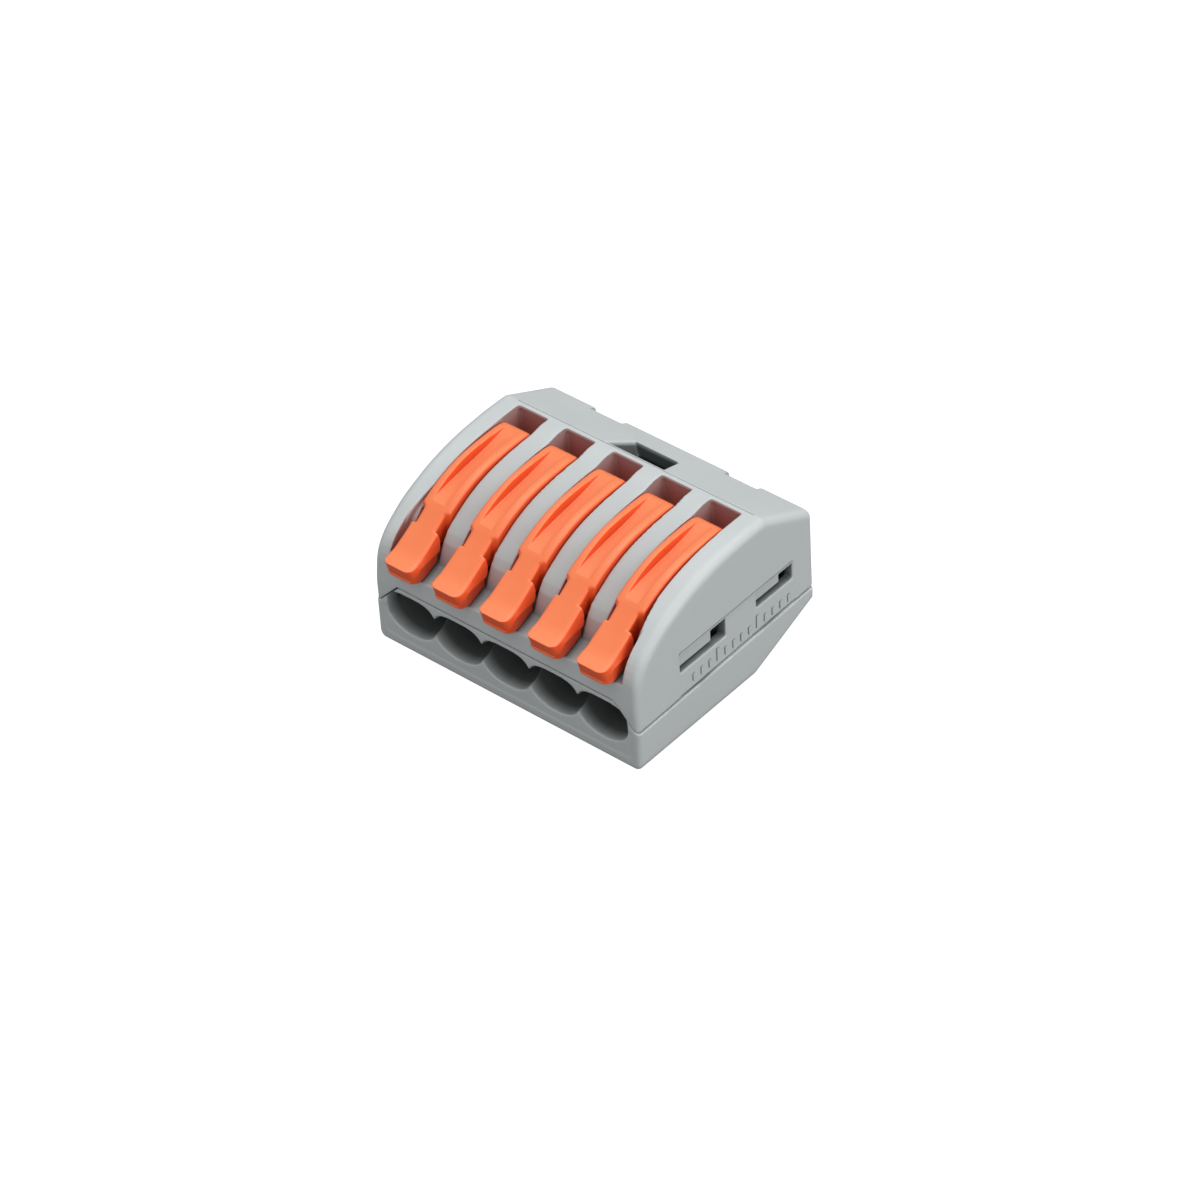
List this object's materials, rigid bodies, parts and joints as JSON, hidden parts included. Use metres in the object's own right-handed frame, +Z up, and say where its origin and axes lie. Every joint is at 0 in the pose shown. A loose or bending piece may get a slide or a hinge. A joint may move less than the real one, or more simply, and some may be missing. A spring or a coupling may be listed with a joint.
{
  "type": "lever wire connector",
  "caption": "Push-in wire connector block with a row of hinged clamping levers, each opening a sprung clamp on a shared current bar.",
  "frame": {"origin": "centre of the whole part's footprint, at the level of the flat base", "axes": "+X along the row of wire entries, +Y from the wire entries to the back, +Z up from the base"},
  "size_m": [0.0276, 0.0234, 0.0149],
  "materials": {
    "housing_plastic": "fine satin moulded surface",
    "lever_plastic": "semi-gloss moulded surface",
    "spring_steel": "rolled strip",
    "bar_metal": "tin-plated copper, stamped"
  },
  "bodies": {
    "housing": {"upper_housing": "housing_plastic", "lower_housing": "housing_plastic", "current_bar": "bar_metal", "clamp_spring_1": "spring_steel", "clamp_spring_2": "spring_steel", "clamp_spring_3": "spring_steel", "clamp_spring_4": "spring_steel", "clamp_spring_5": "spring_steel"},
    "lever_1": {"lever_1": "lever_plastic"},
    "lever_2": {"lever_2": "lever_plastic"},
    "lever_3": {"lever_3": "lever_plastic"},
    "lever_4": {"lever_4": "lever_plastic"},
    "lever_5": {"lever_5": "lever_plastic"}
  },
  "joints": [
    {"name": "lever_1_hinge", "type": "hinge", "parent": "housing", "child": "lever_1", "pos_m": [-0.01, 0.00213, 0.0116], "axis": [-1, 0, 0], "range_deg": [0, 95], "deforming": ["clamp_spring_1"]},
    {"name": "lever_2_hinge", "type": "hinge", "parent": "housing", "child": "lever_2", "pos_m": [-0.005, 0.00213, 0.0116], "axis": [-1, 0, 0], "range_deg": [0, 95], "deforming": ["clamp_spring_2"]},
    {"name": "lever_3_hinge", "type": "hinge", "parent": "housing", "child": "lever_3", "pos_m": [0, 0.00213, 0.0116], "axis": [-1, 0, 0], "range_deg": [0, 95], "deforming": ["clamp_spring_3"]},
    {"name": "lever_4_hinge", "type": "hinge", "parent": "housing", "child": "lever_4", "pos_m": [0.005, 0.00213, 0.0116], "axis": [-1, 0, 0], "range_deg": [0, 95], "deforming": ["clamp_spring_4"]},
    {"name": "lever_5_hinge", "type": "hinge", "parent": "housing", "child": "lever_5", "pos_m": [0.01, 0.00213, 0.0116], "axis": [-1, 0, 0], "range_deg": [0, 95], "deforming": ["clamp_spring_5"]}
  ]
}
